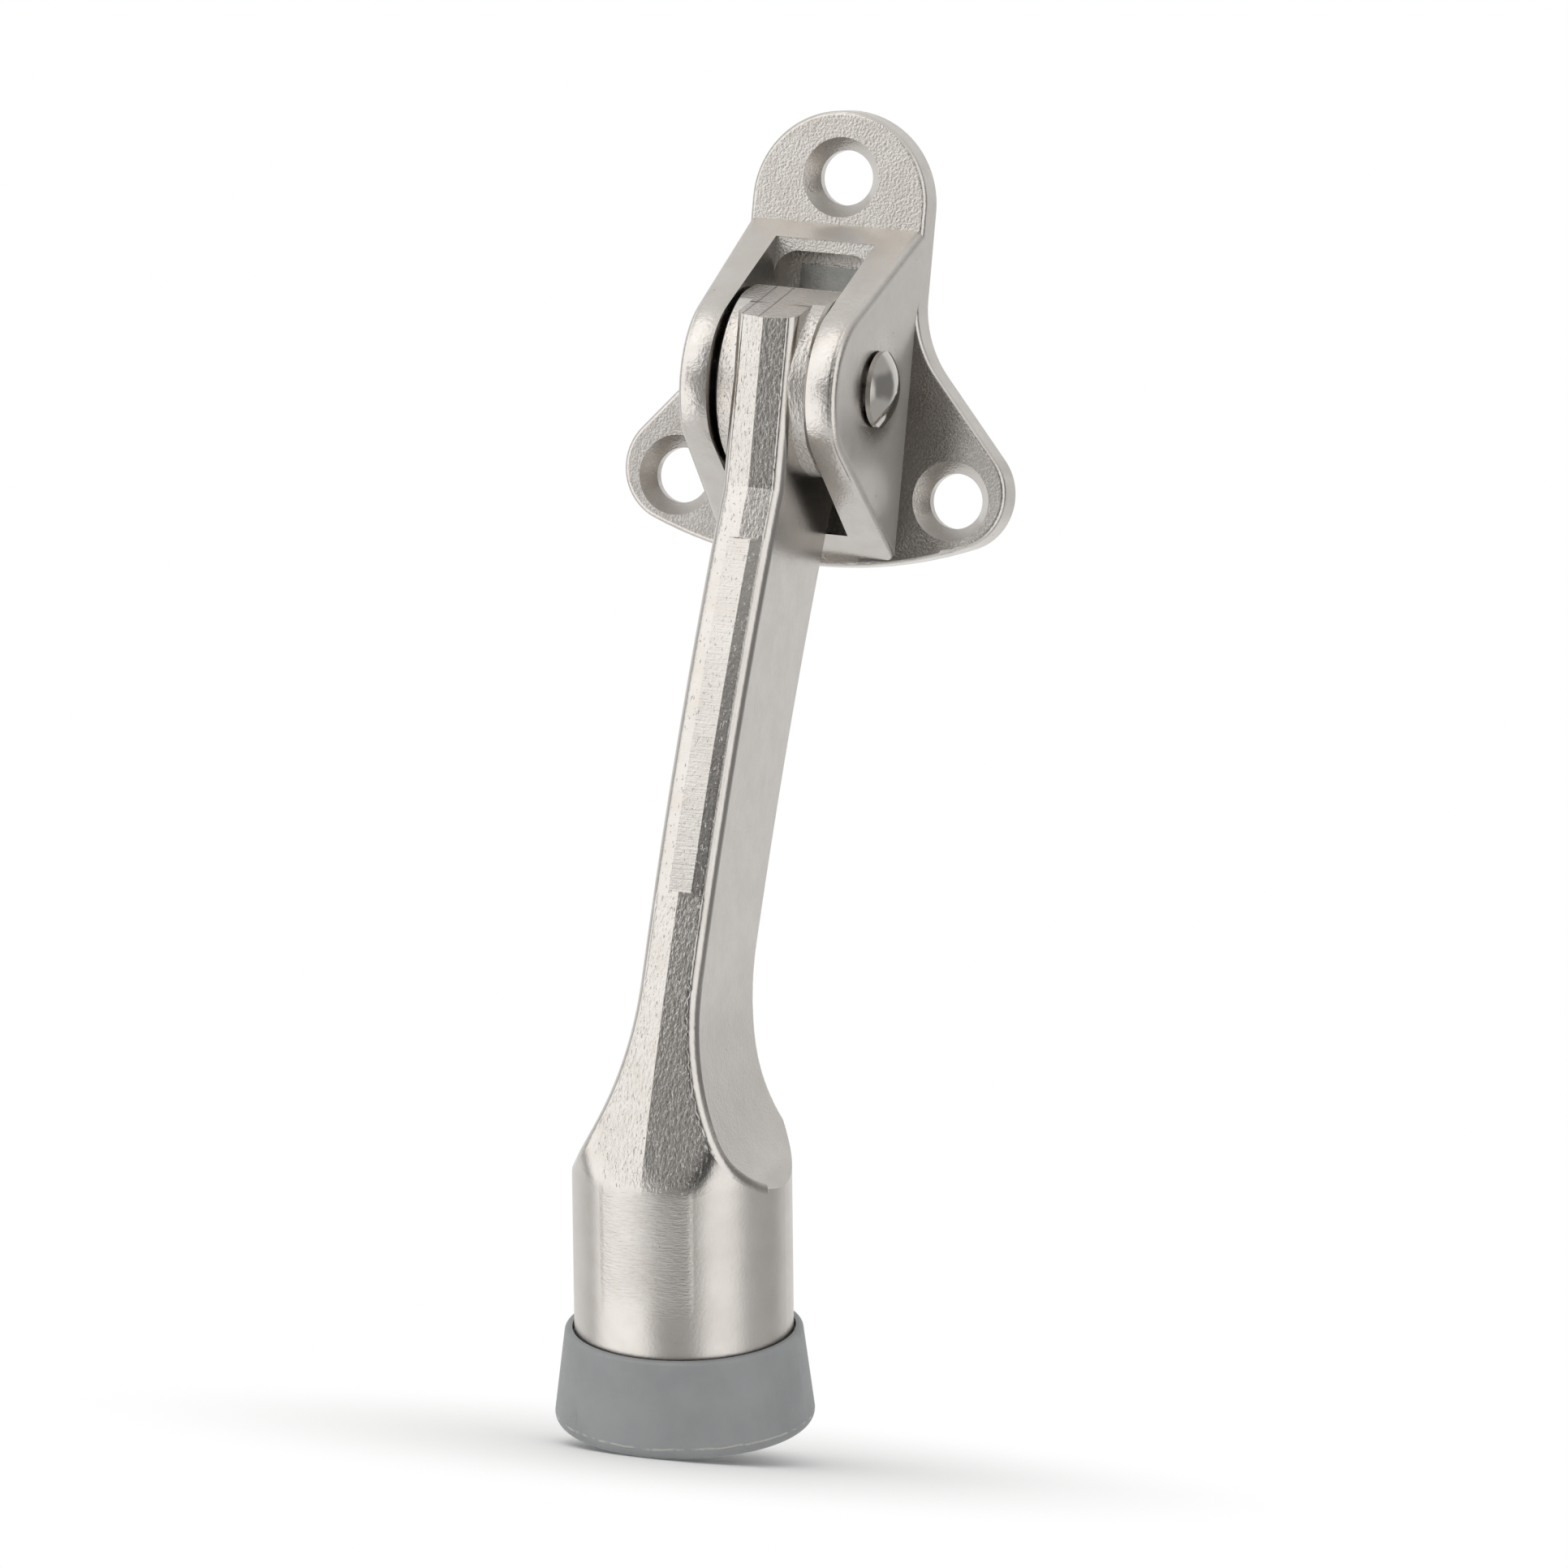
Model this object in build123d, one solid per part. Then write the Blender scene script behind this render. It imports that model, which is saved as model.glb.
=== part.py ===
from build123d import *
import math
import os

# A kickdown door stop. X runs along the hinge pin, Z is up and -Y points away from the door.
# The origin lies on the door face, midway between the two lower screws.

# Base plate
plate_thickness = 2.7
half_width = 8.86
draft_angle = 2.8
lug_top_z = 36.15
ear_x = 14.1
ear_rise = 0.7
ear_radius = 5.35
flank_angle = 41.3
flank_radius = 11.0
plate_bottom_z = -7.35
plate_edge_round = 0.45

# Screw holes
lower_screw_spacing = 28.0
top_screw_z = 29.8
screw_hole_radius = 2.65
countersink_radius = 3.85
countersink_angle = 70.0

# Hinge housing
housing_top_z = 25.3
housing_bottom_z = -6.2
upper_slope = 59.0
lower_slope = 56.5
housing_nose_radius = 7.9
housing_edge_round = 0.8
slot_width = 10.1
slot_top_z = 23.7

# Window behind the hub
panel_height = 2.3
arch_top_z = 22.5
arch_corner_radius = 2.4
ledge_depth = 1.4
ledge_width = 1.3
window_corner_radius = 1.2

# Hinge
pivot_distance = 10.65
pivot_z = 10.1
pin_radius = 2.5
pin_running_clearance = 0.05
pin_fixed_clearance = 0.02
head_radius = 3.65
head_height = 1.8
head_rim = 0.5
formed_head_radius = 3.3
formed_head_height = 1.0
formed_head_rim = 0.2
head_seat_gap = 0.02

# Detent spring
spring_width = 7.0
spring_thickness = 0.8
spring_length = 22.2
spring_corner_radius = 0.6
spring_end_gap = 0.15
spring_hub_gap = 0.05

# Arm
hub_radius = 8.9
hub_width = 9.4
hub_edge_chamfer = 0.3
detent_radius = 8.6
raised_angle = 108.0
arm_width = 6.1
ridge_offset = 9.78
facet_angle = 13.0
bend_drop = 10.2
shank_lean = 17.0
shank_bow_radius = 290.0
shank_depth = 15.2
shank_length = 67.0
front_edge_round = 1.3
back_edge_round = 0.7
facet_end_round = 6.5
ground_start = 5.0
ground_length = 34.5
ground_depth = 0.26
back_stop_gap = 0.06
side_flare_start = 17.0
side_flare_radius = 29.5
side_flare_sweep = 45.0
back_flare_start = 15.0
back_flare_radius = 16.0
back_flare_sweep = 60.0
foot_lean = 16.0
foot_radius = 10.43
foot_length = 18.45
foot_shoulder = 6.5
foot_shoulder_angle = 40.0
foot_edge_round = 0.35

# Rubber tip and its fixing
tip_height = 9.5
tip_top_radius = 11.3
tip_bottom_radius = 12.5
tip_rim_round = 0.45
tip_bottom_round = 1.1
tip_seat_depth = 0.8
tip_seat_gap = 0.2
tip_web = 4.2
washer_radius = 5.0
washer_thickness = 1.0
washer_clearance = 0.25
fixing_radius = 2.0
fixing_clearance = 0.05
fixing_reach = 9.0
fixing_end_gap = 2.0
fixing_head_radius = 3.6
fixing_head_height = 2.2
driver_slot_width = 1.1
driver_slot_length = 4.4
driver_slot_depth = 1.2

# How far a cutting tool runs past the solid that it cuts
over = 30.0

draft_slope = math.tan(math.radians(draft_angle))
facet_slope = math.tan(math.radians(facet_angle))
housing_front = pivot_distance + ridge_offset + over


def arc_about(centre, start, end):
    """The shorter arc from start to end round a centre."""
    middle = (Vector(*start) + Vector(*end)) * 0.5 - Vector(*centre)
    radius = (Vector(*start) - Vector(*centre)).length
    return ThreePointArc(start, Vector(*centre) + middle.normalized() * radius, end)


def side_point(distance, z):
    """A point of the side view, from its distance to the door and its height."""
    return Vector(0, -distance, z)


def side_face(points, arcs=()):
    """A face in the side view from its corners; arcs maps a corner's index to the arc after it."""
    edges = []
    for index, start in enumerate(points):
        end = points[(index + 1) % len(points)]
        through = dict(arcs).get(index)
        edges.append(ThreePointArc(start, through, end) if through else Line(start, end))
    return make_face(edges)


# Plate outline
def plate_outline():
    turn = math.radians(flank_angle)
    lug_z = lug_top_z - half_width
    ear = (ear_x, ear_rise)
    ear_start = (ear_x + ear_radius * math.cos(turn), ear_rise + ear_radius * math.sin(turn))
    flank_end_x = half_width + flank_radius * (1 - math.cos(turn))
    flank_end_z = ear_start[1] + (ear_start[0] - flank_end_x) / math.tan(turn)
    flank_top_z = flank_end_z + flank_radius * math.sin(turn)
    drop = ear_rise - plate_bottom_z
    bottom_radius = (ear_x**2 + drop**2 - ear_radius**2) / (2 * (drop - ear_radius))
    bottom_centre = (0, plate_bottom_z + bottom_radius)
    to_ear = (Vector(*ear) - Vector(*bottom_centre)).normalized()
    ear_end = Vector(*ear) + to_ear * ear_radius
    right = [
        Line((half_width, lug_z), (half_width, flank_top_z)),
        arc_about((half_width + flank_radius, flank_top_z), (half_width, flank_top_z), (flank_end_x, flank_end_z)),
        Line((flank_end_x, flank_end_z), ear_start),
        arc_about(ear, ear_start, (ear_end.X, ear_end.Y)),
    ]
    left = [mirror(edge, about=Plane.YZ) for edge in right]
    lug = ThreePointArc((-half_width, lug_z), (0, lug_top_z), (half_width, lug_z))
    bottom = ThreePointArc((-ear_end.X, ear_end.Y), (0, plate_bottom_z), (ear_end.X, ear_end.Y))
    return make_face([lug, bottom] + right + left)


def front_rounded(solid, radius, distance):
    """Rounds the edges of a solid that lie in the plane at this distance from the door."""
    edges = solid.edges().filter_by_position(Axis.Y, -distance - 0.01, -distance + 0.01)
    return fillet(edges, radius)


def screw_hole(x, z):
    sink = (countersink_radius - screw_hole_radius) / math.tan(math.radians(countersink_angle / 2))
    bore = Cylinder(screw_hole_radius, plate_thickness, align=(Align.CENTER, Align.CENTER, Align.MIN))
    seat = Cone(screw_hole_radius, countersink_radius, sink, align=(Align.CENTER, Align.CENTER, Align.MIN))
    return Plane.XZ * Pos(x, z, 0) * (bore + Pos(0, 0, plate_thickness - sink) * seat)


def cheek_x(distance):
    """How far the drafted outer wall stands from the middle, at a distance from the door."""
    return half_width + (plate_thickness - distance) * draft_slope


# Housing: a rounded triangle in the side view, with drafted cheeks
def housing_block():
    rise = math.tan(math.radians(upper_slope))
    fall = math.tan(math.radians(lower_slope))
    nose_z = (housing_top_z * rise + housing_bottom_z * fall) / (rise + fall)
    nose = plate_thickness + (housing_top_z - nose_z) * rise
    profile = make_face(
        Polyline(
            side_point(0, housing_top_z),
            side_point(plate_thickness, housing_top_z),
            side_point(nose, nose_z),
            side_point(plate_thickness, housing_bottom_z),
            side_point(0, housing_bottom_z),
            close=True,
        )
    )
    profile = fillet(profile.vertices().sort_by(Axis.Y)[0], housing_nose_radius)
    wide = cheek_x(0)
    narrow = cheek_x(housing_front)
    block = extrude(profile, wide, dir=(1, 0, 0), both=True)
    cheeks = make_face(
        Polyline((wide, 0), (narrow, -housing_front), (-narrow, -housing_front), (-wide, 0), close=True)
    )
    block = block & extrude(cheeks, over * 2, both=True)
    outer = block.edges().filter_by_position(Axis.Y, -housing_front, -plate_thickness - 0.01)
    outer = outer.filter_by(lambda edge: abs(edge.center().X) > half_width / 2)
    return fillet(outer, housing_edge_round)


def front_box(x_width, z_low, z_high, near, far, corner=0.0):
    """A straight cut through the front view, from a near to a far distance from the door."""
    outline = Rectangle(x_width, z_high - z_low)
    if corner:
        outline = RectangleRounded(x_width, z_high - z_low, corner)
    return Plane.XZ * Pos(0, (z_low + z_high) / 2, near) * extrude(outline, far - near)


pivot = side_point(pivot_distance, pivot_z)
bend = side_point(pivot_distance + ridge_offset, pivot_z - bend_drop)


def shank_along(distance):
    """The way down the bowed shank, at a distance below the bend."""
    lean = math.radians(shank_lean) - distance / shank_bow_radius
    return Vector(0, -math.sin(lean), -math.cos(lean))


def shank_outward(distance):
    """The way out of the front of the bowed shank, at a distance below the bend."""
    lean = math.radians(shank_lean) - distance / shank_bow_radius
    return Vector(0, -math.cos(lean), math.sin(lean))


bow_centre = bend - shank_outward(0) * shank_bow_radius


def shank_point(distance, depth=0.0):
    """A point in the side view of the shank, at a depth behind its ridge."""
    return bow_centre + shank_outward(distance) * (shank_bow_radius - depth)


def slot_bottom():
    """The height at which the lower slope meets the back of the lowered arm."""
    slope = math.radians(lower_slope)
    start = side_point(plate_thickness, housing_bottom_z)
    run = Vector(0, -math.sin(slope), math.cos(slope))
    radius = shank_bow_radius - shank_depth - back_stop_gap
    half = run.dot(start - bow_centre)
    rest = (start - bow_centre).length ** 2 - radius**2
    return start.Z + run.Z * (math.sqrt(half**2 - rest) - half)


spring_front = pivot_distance - detent_radius - spring_hub_gap
spring_back = spring_front - spring_thickness
spring_low_z = pivot_z - spring_length / 2
spring_high_z = pivot_z + spring_length / 2


def bracket():
    front = Plane(origin=side_point(plate_thickness, 0), x_dir=(-1, 0, 0), z_dir=(0, 1, 0))
    plate = front * extrude(plate_outline(), plate_thickness, taper=-draft_angle)
    body = front_rounded(plate, plate_edge_round, plate_thickness) + housing_block()
    low = slot_bottom()
    pocket_low = spring_low_z - spring_end_gap
    pocket_high = spring_high_z + spring_end_gap
    body -= front_box(slot_width, low, slot_top_z, plate_thickness + panel_height, housing_front)
    arch = front_box(slot_width, low, arch_top_z, ledge_depth, housing_front, arch_corner_radius)
    body -= arch
    body -= front_box(slot_width, low, pivot_z, ledge_depth, housing_front)
    pocket_width = spring_width + 2 * spring_end_gap
    body -= front_box(pocket_width, pocket_low, pocket_high, spring_back, housing_front)
    window_low = spring_low_z + ledge_width
    window_high = spring_high_z - ledge_width
    body -= front_box(pocket_width, window_low, window_high, -over, housing_front, window_corner_radius)
    for x in (-lower_screw_spacing / 2, lower_screw_spacing / 2):
        body -= screw_hole(x, 0)
    body -= screw_hole(0, top_screw_z)
    return body - pin_bore(pin_radius + pin_fixed_clearance, half_width * 2 + over)


def pin_bore(radius, length):
    return Location(pivot) * Rot(0, 90, 0) * Cylinder(radius, length)


# Arm
turn_away = math.radians(raised_angle - 90)
raised_normal = Vector(0, -math.sin(turn_away), math.cos(turn_away))
tip_lean = math.radians(foot_lean)
foot_down = Vector(0, math.sin(tip_lean), -math.cos(tip_lean))
foot_front = Vector(0, -math.cos(tip_lean), -math.sin(tip_lean))
shank_end = shank_point(shank_length)
foot_top = shank_end - foot_front * foot_radius
foot_end = foot_top + foot_down * foot_length
foot_frame = Plane(origin=foot_top, x_dir=(1, 0, 0), z_dir=foot_down)
end_frame = Plane(origin=foot_end, x_dir=(1, 0, 0), z_dir=foot_down)


def roof_section(half, depth):
    """A section with two shallow facets that meet in a ridge at the top."""
    eave = -half * facet_slope
    return make_face(Polyline((0, 0), (half, eave), (half, -depth), (-half, -depth), (-half, eave), close=True))


def spine():
    """The rib over the front of the hub, from inside the shank to the raised flat."""
    frame = Plane(origin=bend, x_dir=(1, 0, 0), z_dir=(0, 0, -1))
    depth = ridge_offset - detent_radius * math.sin(turn_away)
    section = frame * roof_section(arm_width / 2, depth)
    rib = extrude(section, bend_drop + hub_radius, dir=(0, 0, 1)) + extrude(section, arm_width, dir=(0, 0, -1))
    return fillet(rib.edges().filter_by(Axis.Z).group_by(Axis.Y)[1], front_edge_round)


def shank():
    # The two facets of the front, bowed along the shank and as wide as the foot
    frame = Plane(origin=bend, x_dir=(1, 0, 0), z_dir=shank_along(0))
    front = frame * roof_section(foot_radius + over, over * 2)
    bow = math.degrees((shank_length + over) / shank_bow_radius)
    body = revolve(front, Axis(bow_centre, (1, 0, 0)), bow) + extrude(front, bend_drop, dir=shank_along(0) * -1)
    # The bowed back, which flares out onto the foot
    start = shank_point(0, shank_depth)
    top = start - shank_along(0) * bend_drop
    flare_at = shank_length - back_flare_start
    flare = shank_point(flare_at, shank_depth)
    centre = flare - shank_outward(flare_at) * back_flare_radius

    def on_flare(turn):
        spread = shank_outward(flare_at) * math.cos(turn) + shank_along(flare_at) * math.sin(turn)
        return centre + spread * back_flare_radius

    sweep = math.radians(back_flare_sweep)
    far_back = foot_end - foot_front * over
    far_front = foot_end + foot_front * over
    far_top = top + shank_outward(0) * (shank_depth + over)
    side = [top, start, flare, on_flare(sweep), far_back, far_front, far_top]
    arcs = {1: shank_point(flare_at / 2, shank_depth), 2: on_flare(sweep / 2)}
    body = body & extrude(side_face(side, arcs), foot_radius + over, dir=(1, 0, 0), both=True)
    # The flat sides, which flare out onto the foot
    half = arm_width / 2
    start = -side_flare_start
    sweep = math.radians(side_flare_sweep)
    wide = half + side_flare_radius * (1 - math.cos(sweep))
    deep = start + side_flare_radius * math.sin(sweep)
    high = -shank_length - over
    low = foot_length + over
    flare_right = arc_about((half + side_flare_radius, start), (half, start), (wide, deep))
    right = [Line((half, high), (half, start)), flare_right, Line((wide, deep), (wide, low))]
    left = [mirror(edge, about=Plane.YZ) for edge in right]
    ends = [Line((-half, high), (half, high)), Line((-wide, low), (wide, low))]
    flat_frame = Plane(origin=foot_top, x_dir=(1, 0, 0), z_dir=foot_front * -1)
    sides = flat_frame * make_face(right + left + ends)
    body = body & extrude(sides, shank_length, dir=foot_front, both=True)
    # The round foot, with a cone above it that leaves the shank whole
    cone_height = shank_length + over
    cone_radius = foot_radius + cone_height * math.tan(math.radians(foot_shoulder_angle))
    barrel = Pos(0, 0, -foot_shoulder) * Cylinder(
        foot_radius, foot_length + foot_shoulder, align=(Align.CENTER, Align.CENTER, Align.MIN)
    )
    barrel = fillet(barrel.edges().group_by(Axis.Z)[-1], foot_edge_round)
    shoulder = Pos(0, 0, -foot_shoulder - cone_height) * Cone(
        cone_radius, foot_radius, cone_height, align=(Align.CENTER, Align.CENTER, Align.MIN)
    )
    body = body & (foot_frame * (barrel + shoulder))
    # The corners, rounded on each side of the mould's parting plane
    middle = shank_point(0, shank_depth / 2)
    parting = Plane(origin=middle, x_dir=(1, 0, 0), z_dir=shank_outward(shank_length / 2))
    front_half = split(body, bisect_by=parting, keep=Keep.TOP)
    front_half = fillet(front_half.edges().filter_by(on_facet_end), facet_end_round)
    front_half = fillet(front_half.edges().filter_by(on_front_corner), front_edge_round)
    back_half = split(body, bisect_by=parting, keep=Keep.BOTTOM)
    body = front_half + fillet(back_half.edges().filter_by(on_back_corner), back_edge_round)
    # The ridge, ground off along the bow from below the bend to the middle of the shank
    ground_origin = shank_point(ground_start, ground_depth)
    ground_frame = Plane(origin=ground_origin, x_dir=(1, 0, 0), z_dir=shank_along(ground_start))
    wheel = ground_frame * Rectangle(over, over, align=(Align.CENTER, Align.MIN))
    ground_turn = math.degrees(ground_length / shank_bow_radius)
    return body - revolve(wheel, Axis(bow_centre, (1, 0, 0)), ground_turn)


def place_on_shank(edge):
    """How far below the bend and how deep behind the ridge the middle of an edge lies."""
    reach = Vector(0, edge.center().Y, edge.center().Z) - bow_centre
    return shank_bow_radius * math.asin(reach.normalized().dot(shank_along(0))), shank_bow_radius - reach.length


def on_front_corner(edge):
    """True for the two long front corners, down to where they run out on the foot."""
    down, depth = place_on_shank(edge)
    off_ridge = abs(edge.center().X) > arm_width / 2 - front_edge_round
    return off_ridge and depth < foot_radius * facet_slope and down < shank_length - foot_radius / 2


def on_facet_end(edge):
    """True for the two edges where the facets of the front run out on the foot."""
    down, depth = place_on_shank(edge)
    off_ridge = abs(edge.center().X) > arm_width / 2 - front_edge_round
    return off_ridge and depth < foot_radius * facet_slope and down > shank_length - foot_radius / 2


def on_back_corner(edge):
    """True for the two long back corners, down to where the back flares out."""
    down, depth = place_on_shank(edge)
    off_middle = abs(edge.center().X) > arm_width / 2 - back_edge_round
    return off_middle and depth > shank_depth - back_edge_round and down < shank_length - back_flare_start


def arm():
    hub = Cylinder(hub_radius, hub_width)
    hub = Location(pivot) * Rot(0, 90, 0) * chamfer(hub.edges().filter_by(GeomType.CIRCLE), hub_edge_chamfer)
    body = hub + spine() + shank()
    raised_frame = Plane(origin=pivot + raised_normal * detent_radius, x_dir=(1, 0, 0), z_dir=raised_normal)
    body -= raised_frame * Box(over, over, over, align=(Align.CENTER, Align.CENTER, Align.MIN))
    lowered_frame = Plane(origin=pivot + Vector(0, detent_radius, 0), x_dir=(1, 0, 0), z_dir=(0, 1, 0))
    body -= lowered_frame * Box(over, hub_radius * 2, over, align=(Align.CENTER, Align.CENTER, Align.MIN))
    body -= pin_bore(pin_radius + pin_running_clearance, over)
    hole_depth = fixing_reach + fixing_end_gap
    hole = Cylinder(
        fixing_radius + fixing_clearance, hole_depth, align=(Align.CENTER, Align.CENTER, Align.MAX)
    )
    return body - end_frame * hole


def dome(base_x, radius, height, side):
    """The arc of a low rivet head, from its rim to its crown; side is 1 or -1 along X."""
    ball = (radius**2 + height**2) / (2 * height)
    half_way = ball - math.sqrt(ball**2 - (radius / 2) ** 2)
    crown = base_x + side * height
    return ThreePointArc((base_x, radius), (crown - side * half_way, radius / 2), (crown, 0))


def pivot_rivet():
    seat = cheek_x(pivot_distance - head_radius) + head_seat_gap
    rim = seat + head_rim
    formed_rim = -seat - formed_head_rim
    edges = [
        dome(formed_rim, formed_head_radius, formed_head_height - formed_head_rim, -1),
        Polyline(
            (formed_rim, formed_head_radius),
            (-seat, formed_head_radius),
            (-seat, pin_radius),
            (seat, pin_radius),
            (seat, head_radius),
            (rim, head_radius),
        ),
        dome(rim, head_radius, head_height - head_rim, 1),
        Line((-seat - formed_head_height, 0), (seat + head_height, 0)),
    ]
    return Location(pivot) * revolve(make_face(edges), Axis.X)


def leaf_spring():
    outline = RectangleRounded(spring_width, spring_length, spring_corner_radius)
    return Plane.XZ * Pos(0, pivot_z, spring_back) * extrude(outline, spring_thickness)


def rubber_tip():
    bottom = tip_height - tip_seat_depth
    seat = foot_radius + tip_seat_gap
    section = make_face(
        Polyline(
            (fixing_radius + washer_clearance, 0),
            (seat, 0),
            (seat, -tip_seat_depth),
            (tip_top_radius, -tip_seat_depth),
            (tip_bottom_radius, bottom),
            (washer_radius + washer_clearance, bottom),
            (washer_radius + washer_clearance, tip_web),
            (fixing_radius + washer_clearance, tip_web),
            close=True,
        )
    )
    corners = section.vertices().sort_by(Axis.X)
    section = fillet(corners[-1], tip_bottom_round)
    rim = section.vertices().sort_by_distance((tip_top_radius, -tip_seat_depth))[0]
    section = fillet(rim, tip_rim_round)
    return end_frame * revolve(Plane.XZ * section, Axis.Z)


def tip_washer():
    ring = Circle(washer_radius) - Circle(fixing_radius + washer_clearance)
    return end_frame * Pos(0, 0, tip_web) * extrude(ring, washer_thickness)


def tip_screw():
    under_head = tip_web + washer_thickness
    stem = Pos(0, 0, under_head) * Cylinder(
        fixing_radius, under_head + fixing_reach, align=(Align.CENTER, Align.CENTER, Align.MAX)
    )
    head = Pos(0, 0, under_head) * Cylinder(
        fixing_head_radius, fixing_head_height, align=(Align.CENTER, Align.CENTER, Align.MIN)
    )
    head = fillet(head.edges().group_by(Axis.Z)[-1], fixing_head_height / 2)
    slot = Pos(0, 0, under_head + fixing_head_height) * Box(
        driver_slot_length, driver_slot_width, driver_slot_depth * 2
    )
    return end_frame * (stem + head - slot - Rot(0, 0, 90) * slot)


pieces = {
    "bracket": bracket(),
    "arm": arm(),
    "pivot_rivet": pivot_rivet(),
    "leaf_spring": leaf_spring(),
    "rubber_tip": rubber_tip(),
    "tip_washer": tip_washer(),
    "tip_screw": tip_screw(),
}

os.makedirs("parts", exist_ok=True)
for name, piece in pieces.items():
    export_step(piece, f"parts/{name}.step")
    print(name, round(piece.volume, 1), len(piece.solids()))
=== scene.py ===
# %% [markdown]
# # A kickdown door stop
#
# This stop is screwed to the foot of a door. A lever hangs from a small hinge housing, and one kick turns it
# down until its rubber foot grips the floor. The two big pieces are zinc castings with a satin nickel finish.
# The imported model already has the true solids, so this lesson loads them as a fixed frame and spends its time
# on finishes, light and the camera. The box of the bare solids is kept, and the floor is set just below it.

# %% Load the frame
import math

import bpy
from mathutils import Matrix, Vector


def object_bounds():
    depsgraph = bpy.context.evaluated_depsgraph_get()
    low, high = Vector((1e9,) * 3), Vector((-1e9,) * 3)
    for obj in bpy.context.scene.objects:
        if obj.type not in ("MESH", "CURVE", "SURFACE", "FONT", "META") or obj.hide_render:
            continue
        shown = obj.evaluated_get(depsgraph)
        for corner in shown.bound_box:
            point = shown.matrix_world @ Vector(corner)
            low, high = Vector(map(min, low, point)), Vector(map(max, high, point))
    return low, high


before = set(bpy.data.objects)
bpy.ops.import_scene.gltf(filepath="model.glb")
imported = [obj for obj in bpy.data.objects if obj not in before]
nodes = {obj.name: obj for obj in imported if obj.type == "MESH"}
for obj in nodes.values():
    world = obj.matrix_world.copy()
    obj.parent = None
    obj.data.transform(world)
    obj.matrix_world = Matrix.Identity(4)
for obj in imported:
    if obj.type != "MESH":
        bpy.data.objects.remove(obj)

cad_low, cad_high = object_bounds()
print("nodes:", sorted(nodes))
print("solids reach from", [round(v, 4) for v in cad_low], "to", [round(v, 4) for v in cad_high])

# %% [markdown]
# ## The camera
#
# The stop is seen from its right, a little above level, through a long lens that keeps the plate and the
# lever almost free of perspective. The camera also leans about five degrees, so the plate seems to tip to the
# right. A camera can be aimed with a constraint, but a lean is easier when the three axes of the camera are
# built as vectors and written into its matrix.

# %% Aim the camera
mm = 0.001
view_turn = math.radians(20.3)
view_rise = math.radians(2.15)
view_lean = math.radians(5.09)
view_distance = 1619 * mm
image_pixels = 1932
pixels_per_mm = 12.992
sensor_width = 36
middle_of_stop = Vector((0, -18, -27)) * mm
middle_offset = Vector((4.94, -1.37)) * mm

towards = Vector((
    math.sin(view_turn) * math.cos(view_rise),
    -math.cos(view_turn) * math.cos(view_rise),
    math.sin(view_rise),
))
level = Vector((math.cos(view_turn), math.sin(view_turn), 0))
upright = towards.cross(level)
right = level * math.cos(view_lean) + upright * math.sin(view_lean)
up = upright * math.cos(view_lean) - level * math.sin(view_lean)

bpy.ops.object.camera_add()
camera = bpy.context.object
camera.name = "photo_camera"
target = middle_of_stop + right * middle_offset.x + up * middle_offset.y
eye = target + towards * view_distance
camera.matrix_world = Matrix((
    (right.x, up.x, towards.x, eye.x),
    (right.y, up.y, towards.y, eye.y),
    (right.z, up.z, towards.z, eye.z),
    (0, 0, 0, 1),
))
camera.data.sensor_width = sensor_width
camera.data.lens = sensor_width * pixels_per_mm * view_distance / mm / image_pixels
camera.data.clip_end = 10
bpy.context.scene.camera = camera
print("lens", round(camera.data.lens, 1), "mm, looking at", [round(v, 4) for v in target])

# %% [markdown]
# ## A shorthand for shader maths
#
# A procedural finish is mostly arithmetic on masks and noises. Adding every Math node by hand hides the idea,
# so one small class wraps a socket. With it `1 - mask * 0.4` adds the nodes it needs, and one method makes
# every other kind of node.

# %% The shorthand
class Wire:
    """A socket that takes part in Python arithmetic."""

    def __init__(self, sheet, socket):
        self.sheet = sheet
        self.socket = socket

    def maths(self, operation, first, second=0.0):
        return self.sheet.node("ShaderNodeMath", {"operation": operation}, {0: first, 1: second})

    def __add__(self, other):
        return self.maths("ADD", self, other)

    def __radd__(self, other):
        return self.maths("ADD", other, self)

    def __sub__(self, other):
        return self.maths("SUBTRACT", self, other)

    def __rsub__(self, other):
        return self.maths("SUBTRACT", other, self)

    def __mul__(self, other):
        return self.maths("MULTIPLY", self, other)

    def __rmul__(self, other):
        return self.maths("MULTIPLY", other, self)

    def __abs__(self):
        return self.maths("ABSOLUTE", self)

    def upto(self, other):
        return self.maths("MINIMUM", self, other)

    def squared(self):
        return self.maths("MULTIPLY", self, self)

    def hypot(self, other):
        """The distance that this much one way and that much the other way make together."""
        return self.maths("SQRT", self.squared() + other.squared())

    def turn_from(self, ahead):
        """The angle in degrees of a place this far to the right and that far ahead."""
        return math.degrees(1) * self.maths("ARCTAN2", self, ahead)

    def band(self, low, high):
        """0 at low, 1 at high and smooth between them; high may lie below low."""
        settings = {"interpolation_type": "SMOOTHSTEP"}
        flip = low > high
        inputs = {"Value": self, "From Min": min(low, high), "From Max": max(low, high)}
        rise = self.sheet.node("ShaderNodeMapRange", settings, inputs)
        return 1 - rise if flip else rise


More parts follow.
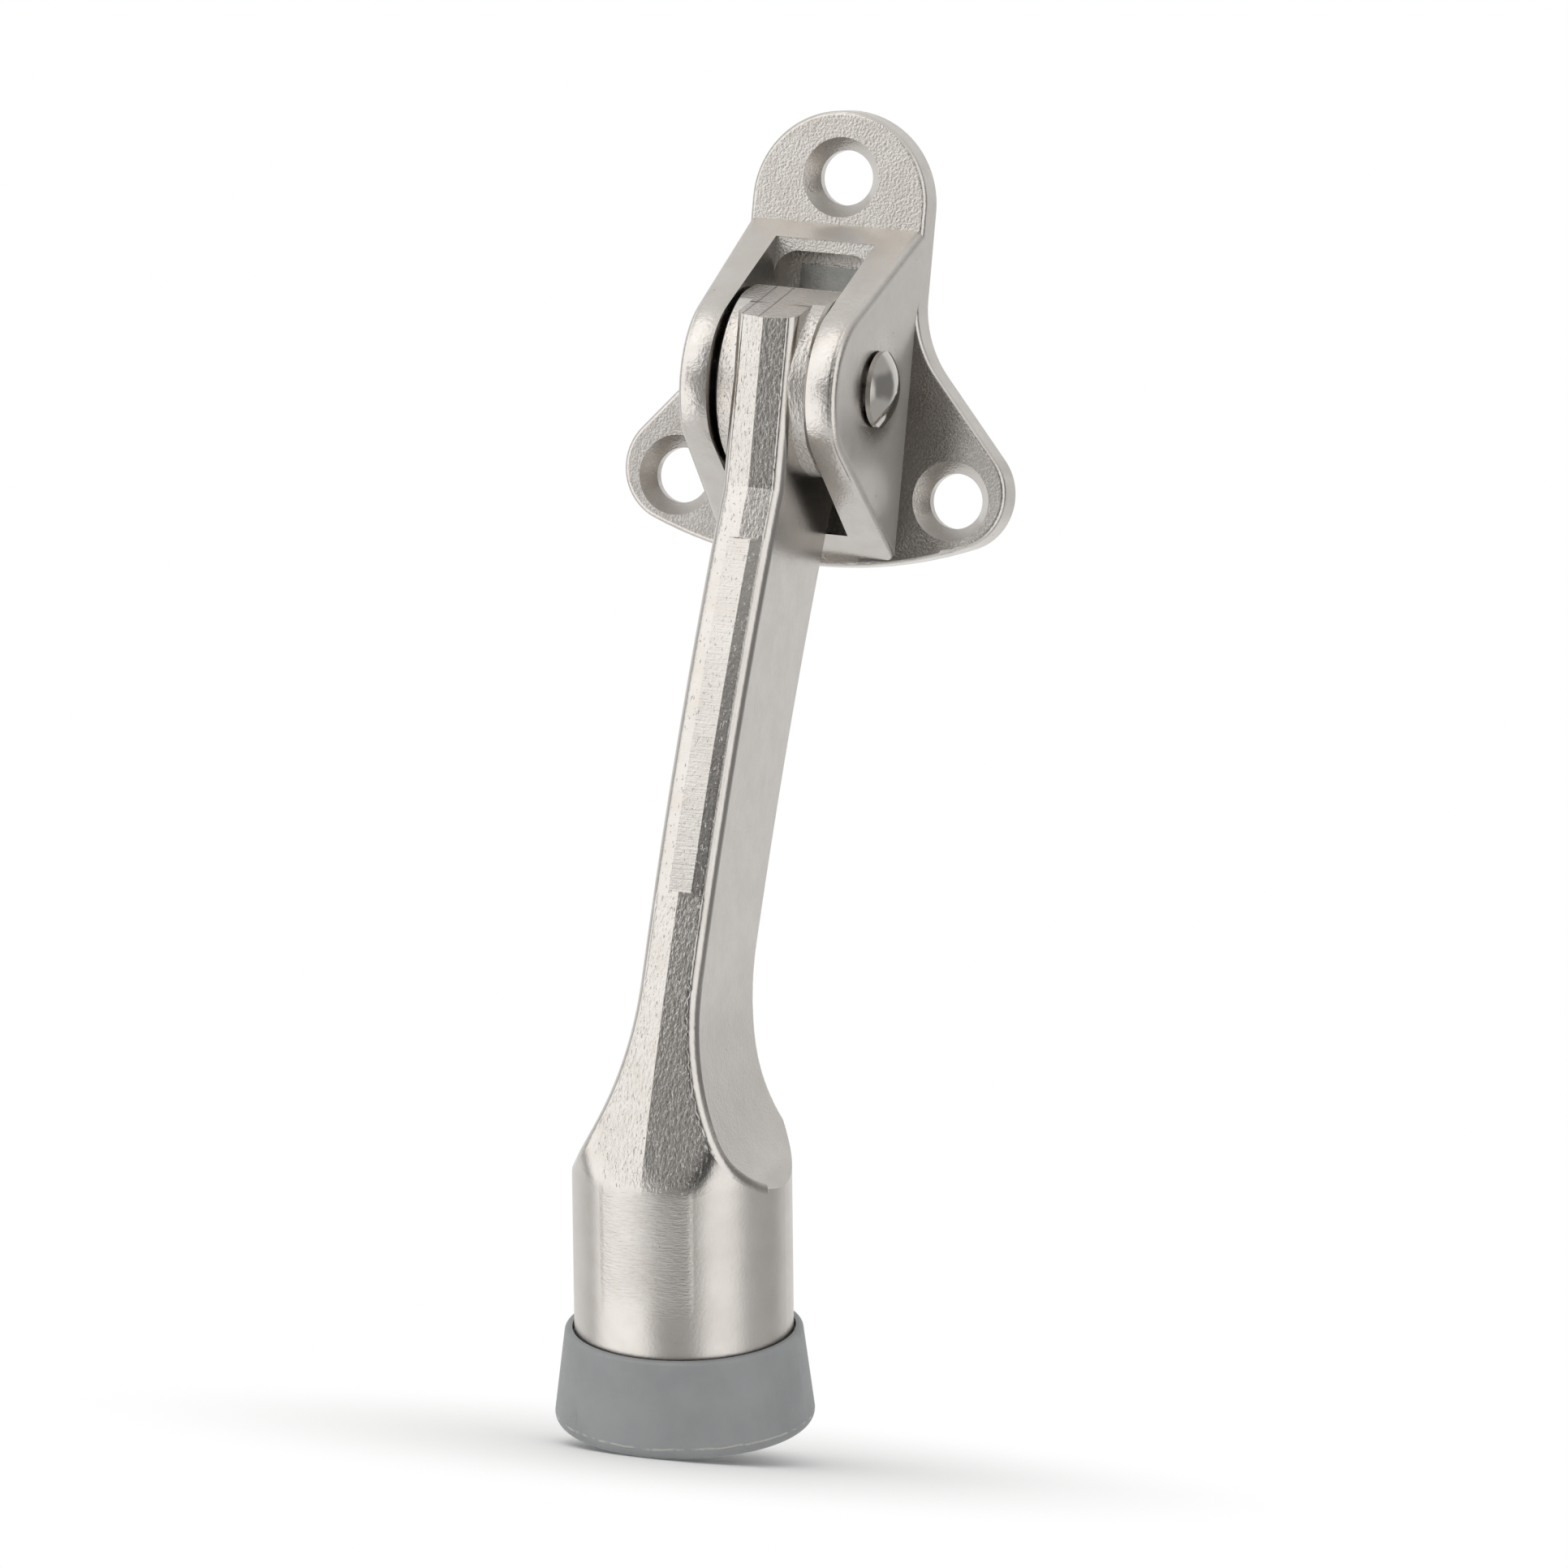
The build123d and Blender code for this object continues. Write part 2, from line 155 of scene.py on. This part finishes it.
class Sheet:
    """A node tree that is filled in by short calls."""

    def __init__(self, tree):
        self.tree = tree

    def node(self, kind, settings, inputs, output=0):
        made = self.tree.nodes.new(kind)
        for name, value in settings.items():
            setattr(made, name, value)
        for name, value in inputs.items():
            self.feed(made.inputs[name], value)
        return Wire(self, made.outputs[output])

    def feed(self, socket, value):
        if isinstance(value, Wire):
            self.tree.links.new(value.socket, socket)
        else:
            socket.default_value = value

    def split(self, vector):
        """The three parts of a vector."""
        first = self.node("ShaderNodeSeparateXYZ", {}, {0: vector})
        return [Wire(self, socket) for socket in first.socket.node.outputs]

    def shows(self):
        """1 for rays that show a background: from the camera, from a mirror image or through glass."""
        straight = self.node("ShaderNodeLightPath", {}, {}, "Is Camera Ray")
        mirrored = self.node("ShaderNodeLightPath", {}, {}, "Is Glossy Ray")
        through = self.node("ShaderNodeLightPath", {}, {}, "Is Transmission Ray")
        return (straight + mirrored + through).upto(1.0)


def tone(red, green, blue):
    """A colour as seen on a screen, 0 to 255, for a colour socket."""
    return (*[(value / 255) ** 2.2 for value in (red, green, blue)], 1)


print("shader shorthand ready")

# %% [markdown]
# ## A sheet for a finish
#
# Every finish on the stop reads the same things: the place on the piece in millimetres, the way a face looks,
# and noises at a chosen grain. A finish sheet holds them, so that a recipe below reads like a recipe.

# %% The finish sheet
class Finish(Sheet):
    """The node tree of a material, with places in millimetres."""

    def __init__(self, name):
        self.material = bpy.data.materials.new(name)
        self.material.use_nodes = True
        super().__init__(self.material.node_tree)
        self.surface = self.tree.nodes["Principled BSDF"]
        place = self.node("ShaderNodeTexCoord", {}, {}, "Object")
        self.place = self.node("ShaderNodeVectorMath", {"operation": "SCALE"}, {0: place, "Scale": 1 / mm})
        self.x, self.y, self.z = self.split(self.place)

    def facing(self):
        """The way the face looks, as three numbers from -1 to 1."""
        return self.split(self.node("ShaderNodeTexCoord", {}, {}, "Normal"))

    def noise(self, per_mm, detail=3.0, roughness=0.5, stretch=(1, 1, 1), turn=0.0):
        mapping = {"Vector": self.place, "Scale": stretch, "Rotation": (math.radians(turn), 0, 0)}
        vector = self.node("ShaderNodeMapping", {"vector_type": "POINT"}, mapping)
        inputs = {"Vector": vector, "Scale": per_mm, "Detail": detail, "Roughness": roughness}
        return self.node("ShaderNodeTexNoise", {}, inputs)

    def specks(self, per_mm, size, share):
        """Small round dots: one in each cell of a grid, kept for a share of the cells."""
        inputs = {"Vector": self.place, "Scale": per_mm}
        edge = size * per_mm
        near = self.node("ShaderNodeTexVoronoi", {}, inputs, "Distance").band(edge, edge * 0.5)
        pick = self.node("ShaderNodeTexVoronoi", {}, inputs, "Color")
        grey = self.node("ShaderNodeSeparateColor", {}, {0: pick}, 0)
        return near * grey.band(1 - share + 0.02, 1 - share + 0.03)

    def reach(self, way):
        """How far a place lies along a direction, in millimetres."""
        settings = {"operation": "DOT_PRODUCT"}
        return self.node("ShaderNodeVectorMath", settings, {0: self.place, 1: way}, "Value")

    def mix(self, factor, first, second):
        return self.node("ShaderNodeMix", {"data_type": "RGBA"}, {0: factor, 6: first, 7: second}, 2)

    def bump(self, height, depth_mm):
        return self.node("ShaderNodeBump", {}, {"Height": height, "Distance": depth_mm * mm})

    def glow(self, strength):
        return self.node("ShaderNodeEmission", {}, {"Color": (1, 1, 1, 1), "Strength": strength})

    def blend(self, factor, first, second):
        """One shader that gives way to another."""
        return self.node("ShaderNodeMixShader", {}, {0: factor, 1: first, 2: second})

    def shade(self, colour, roughness, normal, metallic=0.0):
        self.feed(self.surface.inputs["Base Color"], colour)
        self.feed(self.surface.inputs["Roughness"], roughness)
        self.feed(self.surface.inputs["Normal"], normal)
        self.feed(self.surface.inputs["Metallic"], metallic)
        return self.material

    def end_in(self, shader):
        self.feed(self.tree.nodes["Material Output"].inputs["Surface"], shader)
        return self.material


def dress(name, material):
    for slot in nodes[name].material_slots:
        slot.material = material
    print(name, "gets", material.name)


print("finish sheet ready")

# %% [markdown]
# ## Nickel on the bracket
#
# The bracket is a zinc casting under satin nickel. Its mould was rough on the front of the plate and in the
# recess at the top of the slot, so those faces sparkle with a coarse grain. The outer cheeks were drawn out of
# the mould: they are smooth and partly matt, with faint upright strokes, but they shine close to the rivet. The
# noses of the cheeks are worn and slightly crowned. The corner beside the right cheek has coarse grain, and its
# colour is darkened there as painted shade, where the cheek darkens what the plate mirrors. Each of these could
# be a material of its own. Masks made from the place and the facing keep them in one, where they meet softly.

# %% Where the bracket is rough, matt or worn
pivot_y, pivot_z = -10.65, 10.1
nose_middle = 6.6

cast = Finish("bracket_nickel")
faces_x, faces_y, faces_z = cast.facing()
looks_out = faces_y.band(-0.8, -0.95)
cheek = abs(faces_x).band(0.9, 0.97)
slope = faces_z.band(0.3, 0.5)
on_plate = looks_out * cast.y.band(-3.6, -3.2)
plate_front = on_plate * (0.3 + 0.7 * cast.z.band(15, 19))
recess = looks_out * cast.y.band(-5.6, -5.3) * abs(cast.x).band(5.2, 5.0)
coarse = (plate_front + recess).upto(1.0)
right_corner = cast.x.band(6, 8) * cast.x.band(16, 12.5)
# Painted shade: the plate corner beside the right cheek gets coarse grain and is darkened in colour below.
painted_shade_corner = on_plate * cast.z.band(19, 15) * right_corner
from_rivet = (cast.y - pivot_y).hypot(cast.z - pivot_z)
matt = cheek * abs(cast.x).band(6.2, 6.8) * from_rivet.band(3.2, 6.5)
nose = cast.y.band(-12, -15) * abs(faces_x).band(0.5, 0.2)
crown = (0.66 * (abs(cast.x) - nose_middle)).squared() * nose
print("bracket masks take", len(cast.tree.nodes), "nodes")

# %% Bracket finish
casting_depth = 0.13


def nickel_colour(sheet):
    cloud = sheet.noise(0.3, 4.0, 0.6).band(0.3, 0.7)
    return sheet.mix(cloud, tone(187, 182, 176), tone(193, 189, 184))


grain = cast.noise(4.0, 2.0, 0.5)
skin = cast.noise(4.5, 2.0, 0.5)
strokes = cast.noise(5.0, 2.0, stretch=(1, 1, 0.08))
worn = cast.noise(2.2, 3.0, 0.55)
handled = cast.noise(0.45, 4.0, 0.6).band(0.45, 0.75)
pits = cast.specks(0.55, 0.11, 0.35)
height = (
    grain * (0.08 + 0.42 * (coarse + 0.8 * painted_shade_corner).upto(1.0))
    + skin * (0.14 - 0.05 * cheek)
    + strokes * cheek * 0.10
    + worn * nose * 0.45
    - pits * 0.25
    - 1.6 * crown
)
# Dark colour from real pits, plus painted shade in the plate corner beside the right cheek.
pits_and_painted_shade = (pits * 0.6 + painted_shade_corner * 0.62).upto(1.0)
dress("bracket", cast.shade(
    colour=cast.mix(pits_and_painted_shade, nickel_colour(cast), tone(84, 78, 72)),
    roughness=0.21 + 0.10 * coarse + 0.08 * handled + 0.16 * slope + 0.10 * matt,
    normal=cast.bump(height, casting_depth),
    metallic=1 - 0.5 * matt,
))

# %% [markdown]
# ## Nickel on the lever
#
# The lever has the same plating. Its front carries short dents and ticks from the mould along its length, its
# sides are calm with a few pits, and where the ridge was ground the marks of the belt run across. The same stripe
# of marks goes on down the front of the foot. The narrow facet beside the ground flat is smooth and turned a
# little to the right. The long corners are polished by handling, the hub is slightly crowned, its ends are turned,
# and two fine seams of the mould cross the flat on top of it. All of them are shallow, so they are bumps under
# masks and not geometry.

# %% Where the lever is ground, calm or turned
def farthest(name, way):
    """The longest reach of a piece along a direction, in millimetres."""
    return max(point.co.dot(way) for point in nodes[name].data.vertices) / mm


foot_lean = math.radians(16)
foot_axis = Vector((0, math.sin(foot_lean), -math.cos(foot_lean)))
foot_reach = farthest("arm", foot_axis)

lever = Finish("arm_nickel")
faces_x, faces_y, faces_z = lever.facing()
down_foot = lever.reach(foot_axis) - foot_reach
on_foot = down_foot.band(-18.0, -16.8)
flank = abs(faces_x).band(0.9, 0.97) * (1 - on_foot)
corner = abs(faces_x).band(0.28, 0.45) * abs(faces_x).band(0.99, 0.95) * (1 - on_foot)
calm = (flank + on_foot + corner).upto(1.0)
along_bow = lever.z.band(-4.6, -5.2) * lever.z.band(-39.2, -38.4)
ground = lever.x.band(1.25, 1.10) * faces_y.band(-0.80, -0.90) * along_bow
beside_ground = faces_x.band(0.08, 0.2) * faces_x.band(0.75, 0.55) * along_bow
foot_front = on_foot * down_foot.band(-3.0, -9.0) * faces_y.band(-0.5, -0.7)
belt = abs(lever.x).band(4.8, 4.2) * foot_front
marks = (belt + ground).upto(1.0)
hub = lever.z.band(0.6, 1.4)
from_pivot = (lever.y - pivot_y).hypot(lever.z - pivot_z)
hub_round = from_pivot.band(9.2, 9.0) * abs(faces_x).band(0.5, 0.2)
print("the foot reaches", round(foot_reach, 1), "mm, lever masks take", len(lever.tree.nodes), "nodes")

# %% Lever finish
mould_turn = -10
facet_middle = 2.3
seams_middle = -1.45
seams_apart = 1.8

dents = lever.noise(2.3, 3.0, 0.55, stretch=(1.5, 1.5, 0.75), turn=mould_turn)
tick_noise = lever.noise(1.7, 2.0, 0.5, stretch=(2.4, 2.4, 0.9), turn=mould_turn)
ticks = tick_noise.band(0.65, 0.73) * (1 - calm)
across = lever.noise(3.4, 3.0, 0.6, stretch=(0.12, 1, 1.6))
turned = lever.noise(6.0, 2.0, stretch=(1, 0.05, 0.05))
lever_skin = lever.noise(3.6, 3.0, 0.55)
lever_pits = lever.specks(0.42, 0.12, 0.40)
from_seam = abs(abs(lever.x - seams_middle) - seams_apart / 2)
seams = from_seam.band(0.09, 0.03) * faces_z.band(0.7, 0.85) * hub
lever_height = (
    dents * (0.72 - 0.66 * calm) * (1 - 0.8 * (marks + beside_ground).upto(1.0))
    - ticks * (0.5 - 0.2 * marks)
    + lever_skin * (0.16 - 0.08 * calm)
    + across * (0.26 * ground + 0.70 * belt)
    + turned * hub * flank * 0.12
    - lever_pits * 0.30
    - seams * 0.5
    - (0.345 * lever.x).squared() * hub_round
    - 0.55 * (lever.x - facet_middle) * beside_ground
)
lever_dirt = (lever_pits * 0.6 + seams * 0.4 + ticks * 0.12).upto(1.0)
dress("arm", lever.shade(
    colour=lever.mix(lever_dirt, nickel_colour(lever), tone(96, 90, 84)),
    roughness=0.23 - 0.06 * corner + 0.05 * on_foot + 0.04 * marks + 0.06 * lever.noise(1.0, 2.0),
    normal=lever.bump(lever_height, casting_depth),
    metallic=1.0,
))

# %% [markdown]
# ## Steel pieces
#
# The rivet is a bright headed pin, and the blows that closed it left its dome a little uneven. The leaf behind
# the hub is duller spring strip, and the screw and washer inside the rubber foot are plain steel. They could be
# four materials, but they share one recipe with their own gloss and grain.

# %% Rivet, leaf, screw and washer
def steel(name, colour, gloss, per_mm, depth_mm):
    sheet = Finish(name)
    rub = sheet.noise(0.9, 3.0)
    return sheet.shade(
        colour=sheet.mix(rub.band(0.3, 0.7) * 0.25, colour, tone(190, 187, 182)),
        roughness=gloss + 0.10 * rub,
        normal=sheet.bump(sheet.noise(per_mm, 2.0), depth_mm),
        metallic=1.0,
    )


dress("pivot_rivet", steel("rivet_steel", tone(184, 180, 175), 0.05, 0.3, 0.12))
dress("leaf_spring", steel("leaf_steel", tone(140, 141, 138), 0.30, 3.5, 0.015))
plain_steel = steel("plain_steel", tone(168, 166, 162), 0.30, 3.5, 0.02)
dress("tip_screw", plain_steel)
dress("tip_washer", plain_steel)

# %% [markdown]
# ## Grey rubber
#
# The foot is moulded grey rubber: matt, very slightly mottled, with small smudges. The mould was split near
# the lower edge, and a thin pale line of flash was left there. The line is found by measuring along the axis
# of the foot, so it stays level with the leaning edge.

# %% Rubber finish
flash_height = 1.35

rubber = Finish("grey_rubber")
up_from_edge = farthest("rubber_tip", foot_axis) - rubber.reach(foot_axis)
wander = rubber.noise(0.5, 3.0) * 0.35
from_flash = abs(up_from_edge + wander - flash_height)
flash = from_flash.band(0.16, 0.05) * rubber.noise(0.9, 3.0).band(0.38, 0.55)
mottle = rubber.noise(0.28, 4.0).band(0.3, 0.7)
smudge = rubber.noise(0.5, 4.0, 0.6, stretch=(1, 1, 0.4)).band(0.62, 0.80)
rubber_grey = rubber.mix(mottle, tone(137, 139, 140), tone(144, 146, 147))
smudged = rubber.mix(smudge * 0.35, rubber_grey, tone(104, 106, 104))
dress("rubber_tip", rubber.shade(
    colour=rubber.mix(flash * 0.7, smudged, tone(186, 184, 176)),
    roughness=0.48 + 0.16 * rubber.noise(1.2, 3.0),
    normal=rubber.bump(rubber.noise(3.0, 3.0) * 0.3 + flash, 0.06),
))

# %% [markdown]
# ## The floor
#
# The stop stands on a plain pale floor. Close to the foot the floor is lit and keeps the shadow, and farther out
# it fades into the white of the world for the rays that show it. A bent sheet of paper would do the same in a
# studio, but a fade needs no horizon. The cards below reach under the floor, so it is left out of mirror images,
# where the white world takes its place.

# %% Floor
floor_level = cad_low.z - 0.05 * mm
bpy.ops.mesh.primitive_plane_add(size=4, location=(0, 0, floor_level))
floor = bpy.context.object
floor.name = "floor"
floor.visible_glossy = False

pale = Finish("pale_floor")
pale.shade(tone(246, 246, 245), 0.7, pale.bump(pale.noise(0.02, 1.0), 0.01))
tip_corners = [Vector(place) for place in nodes["rubber_tip"].bound_box]
tip_middle = sum(tip_corners, Vector()) / len(tip_corners) / mm
from_tip = (pale.x - tip_middle.x).hypot(pale.y - tip_middle.y)
fade = from_tip.band(16.0, 60.0) * pale.shows()
lit = Wire(pale, pale.surface.outputs["BSDF"])
floor.data.materials.append(pale.end_in(pale.blend(fade, lit, pale.glow(1.0))))
print("floor at", round(floor_level, 4))

# %% [markdown]
# ## A lamp from above
#
# One square lamp hangs in front of the stop, above it and to its left. Its size makes the shadow soft, and its
# power is kept low enough that a colour renders about as it is written. A sun would be simpler, but its shadow
# would be hard.

# %% Lamp from above
lamp_way = Vector((-0.35, -0.45, 0.82)).normalized()
lamp_distance = 0.9
lamp_side = 0.6
lamp_glow = 1.3
bpy.ops.object.light_add(type="AREA", location=middle_of_stop + lamp_way * lamp_distance)
lamp = bpy.context.object
lamp.name = "top_soft_lamp"
lamp.data.size = lamp_side
lamp.data.energy = lamp_glow * math.pi * lamp_side**2
lamp.rotation_euler = lamp_way.to_track_quat("Z", "Y").to_euler()
print("lamp", round(lamp.data.energy, 2), "W")

# %% [markdown]
# ## Cards and soft boxes
#
# Satin metal is drawn by the dark and bright things that it mirrors. A ring of grey cards stands round the stop,
# open at the back, with a wide soft box on its left, a narrow one on its right and a dark card between. Separate
# cards and lamps could do the same. One ring that only mirror images show is quicker to tune, and the plain light
# on the rubber stays as it is. Angles round the ring count from the front, and the right is 90 degrees.

# %% Ring of cards
def rises(turn, angle, edge=9):
    """Climbs softly from 0 to 1 past an angle round the stop."""
    return turn.band(angle - edge, angle + edge)


bpy.ops.mesh.primitive_cylinder_add(
    vertices=96, radius=0.5, depth=1.6, end_fill_type="NOTHING", location=middle_of_stop
)
ring = bpy.context.object
ring.name = "card_ring"
for sight in ("visible_camera", "visible_diffuse", "visible_transmission", "visible_shadow"):
    setattr(ring, sight, False)
print("card ring of", len(ring.data.polygons), "faces")

# %% What the ring shows
cards = Finish("card_ring")
turn = cards.x.turn_from(-1 * cards.y)
above = cards.z.band(30, 140)
below = cards.z.band(-20, -130)
at_level = abs(cards.z).band(260, 160)
lean_in = 27 * above + 17 * below
on_right = rises(turn, 92)
zones = {
    "right card": (0.62, on_right),
    "right card at level": (0.30, on_right * at_level * cards.z.band(-110, 0)),
    "left box": (1.70, rises(turn, -86) * (1 - rises(turn - lean_in, -33))),
    "dark card": (0.05, rises(turn + 9 * above, 17, 5) * (1 - rises(turn, 44, 5)) * at_level),
    "right box": (1.50, rises(turn, 44) * (1 - rises(turn, 88))),
}
look = cards.glow(0.48)
for strength, zone in zones.values():
    look = cards.blend(zone, look, cards.glow(strength))
opening = (rises(turn, 145) + rises(-1 * turn, 100) + abs(cards.z).band(390, 800)).upto(1.0)
clear = cards.node("ShaderNodeBsdfTransparent", {}, {})
ring.data.materials.append(cards.end_in(cards.blend(opening, look, clear)))
print("the ring shows a", ", a ".join(zones))

# %% [markdown]
# ## A white world
#
# The background is plain white for the camera, in mirror images and through glass. The same world lights the stop
# from all sides, a little below white, so that pale surfaces don't clip. Light Path tells the two kinds of ray
# apart, where a second world would be needed otherwise.

# %% White world
plain_light = 0.82
world = bpy.data.worlds.new("white_studio")
bpy.context.scene.world = world
world.use_nodes = True
sky = Sheet(world.node_tree)
shown = sky.shows()
sky.feed(sky.tree.nodes["Background"].inputs["Color"], (1, 1, 1, 1))
sky.feed(sky.tree.nodes["Background"].inputs["Strength"], shown + plain_light * (1 - shown))
bpy.context.scene.view_settings.view_transform = "Standard"
print("world is white, and gives a plain light of", plain_light)
